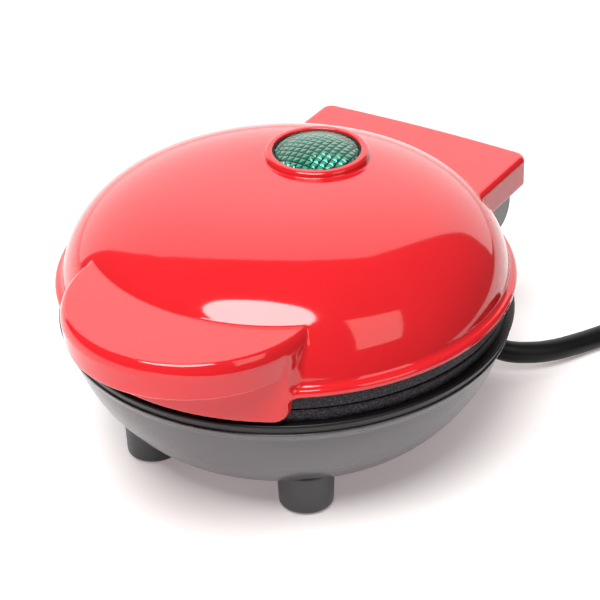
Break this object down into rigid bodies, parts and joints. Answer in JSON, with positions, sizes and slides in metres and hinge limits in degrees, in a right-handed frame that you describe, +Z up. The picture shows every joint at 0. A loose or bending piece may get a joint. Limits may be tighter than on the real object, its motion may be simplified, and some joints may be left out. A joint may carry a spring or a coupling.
{
  "type": "waffle maker",
  "caption": "Compact round waffle maker with a domed lid, disc handle, indicator lens, rear hinge, waffle-grid plates and a bowl-shaped base on feet.",
  "frame": {"origin": "on the floor plane, under the middle of the appliance without its cord, on the axis of the round body", "axes": "+Z up; -Y towards the handle, +Y towards the hinge; the hinge axis is parallel to X"},
  "size_m": [0.2189, 0.2048, 0.0811],
  "materials": {
    "red_shell": "gloss",
    "lens_green": "moulded prismatic",
    "black_gasket": "satin",
    "natural_plastic": "matte",
    "lamp_glass": "clear",
    "black_shell": "gloss",
    "black_frame": "satin",
    "nonstick": "fine-grained non-stick coating",
    "element_steel": "heat-tinted",
    "shield_metal": "mill",
    "screw_steel": "zinc plated",
    "pin_steel": "ground",
    "grey_bowl": "satin",
    "ceramic": "unglazed",
    "wire_sleeve": "silicone sleeve",
    "pad_rubber": "matte",
    "cord_sheath": "satin",
    "tie_fabric": "woven",
    "brass_blades": "nickel-washed"
  },
  "bodies": {
    "base": {"base_bowl": "grey_bowl", "base_ring": "black_shell", "hinge_block": "black_frame", "hinge_pin": "pin_steel", "hinge_screws": "screw_steel", "lower_cooking_plate": "nonstick", "lower_heating_element": "element_steel", "lower_heat_shield": "shield_metal", "thermostat": "ceramic", "thermal_fuse": "ceramic", "terminal_block": "ceramic", "internal_wires": "wire_sleeve", "foot_front_left": "grey_bowl", "foot_front_right": "grey_bowl", "foot_rear_left": "grey_bowl", "foot_rear_right": "grey_bowl", "foot_pads": "pad_rubber", "base_screws": "screw_steel", "strain_relief": "cord_sheath", "power_cord": "cord_sheath", "cord_coil": "cord_sheath", "cord_tail": "cord_sheath", "cord_tie": "tie_fabric", "plug_body": "cord_sheath", "plug_blades": "brass_blades"},
    "lid": {"lid_cover": "red_shell", "handle_underplate": "red_shell", "indicator_lens": "lens_green", "lens_gasket": "black_gasket", "lamp_holder": "natural_plastic", "indicator_lamps": "lamp_glass", "lid_frame": "black_frame", "upper_cooking_plate": "nonstick", "upper_heating_element": "element_steel", "upper_heat_shield": "shield_metal", "upper_plate_screws": "screw_steel", "cover_screws": "screw_steel"}
  },
  "joints": [
    {"name": "lid_hinge", "type": "hinge", "parent": "base", "child": "lid", "pos_m": [0, 0.067, 0.0445], "axis": [-1, 0, 0], "range_deg": [0, 100]}
  ]
}
